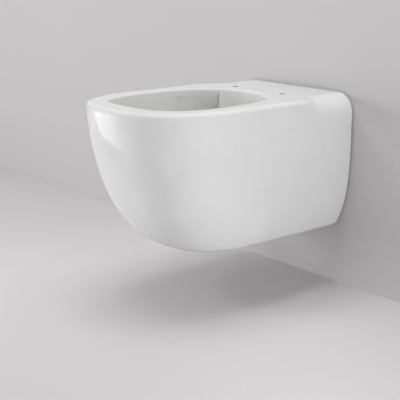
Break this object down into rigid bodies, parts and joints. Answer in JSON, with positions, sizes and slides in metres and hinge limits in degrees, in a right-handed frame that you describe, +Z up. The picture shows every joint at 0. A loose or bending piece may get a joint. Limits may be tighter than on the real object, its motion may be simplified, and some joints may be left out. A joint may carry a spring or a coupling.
{
  "type": "wall hung toilet",
  "caption": "Compact wall hung toilet pan in white glazed china with a D-shaped rimless bowl, hidden brackets, and sealed flush and waste pipe connections.",
  "frame": {"origin": "on the finished wall, midway between the two wall studs, which lie 80 mm below the rim", "axes": "+Z up, -Y out of the wall towards the user, +X to the user's right when facing the wall"},
  "size_m": [0.3552, 0.6032, 0.3153],
  "materials": {
    "glazed_china": "white gloss glaze",
    "foam_sheet": "closed-cell foam, matt",
    "zinc_steel": "zinc plated",
    "sleeve_plastic": "moulded",
    "natural_nylon": "moulded",
    "black_rubber": "moulded rubber",
    "pipe_plastic": "extruded and moulded"
  },
  "bodies": {
    "root": {"pan": "glazed_china", "acoustic_mat": "foam_sheet", "bracket_left": "zinc_steel", "bracket_right": "zinc_steel", "wall_studs": "zinc_steel", "stud_sleeves": "sleeve_plastic", "stud_washers": "zinc_steel", "stud_nuts": "zinc_steel", "bracket_pads": "black_rubber", "clamp_bushes": "natural_nylon", "clamp_washers": "zinc_steel", "clamp_screws": "zinc_steel", "clamp_nut_plates": "zinc_steel", "flush_pipe": "pipe_plastic", "flush_seal": "black_rubber", "flow_limiter": "natural_nylon", "waste_connector": "pipe_plastic", "waste_seal": "black_rubber", "waste_seal_ring": "pipe_plastic"}
  },
  "joints": []
}
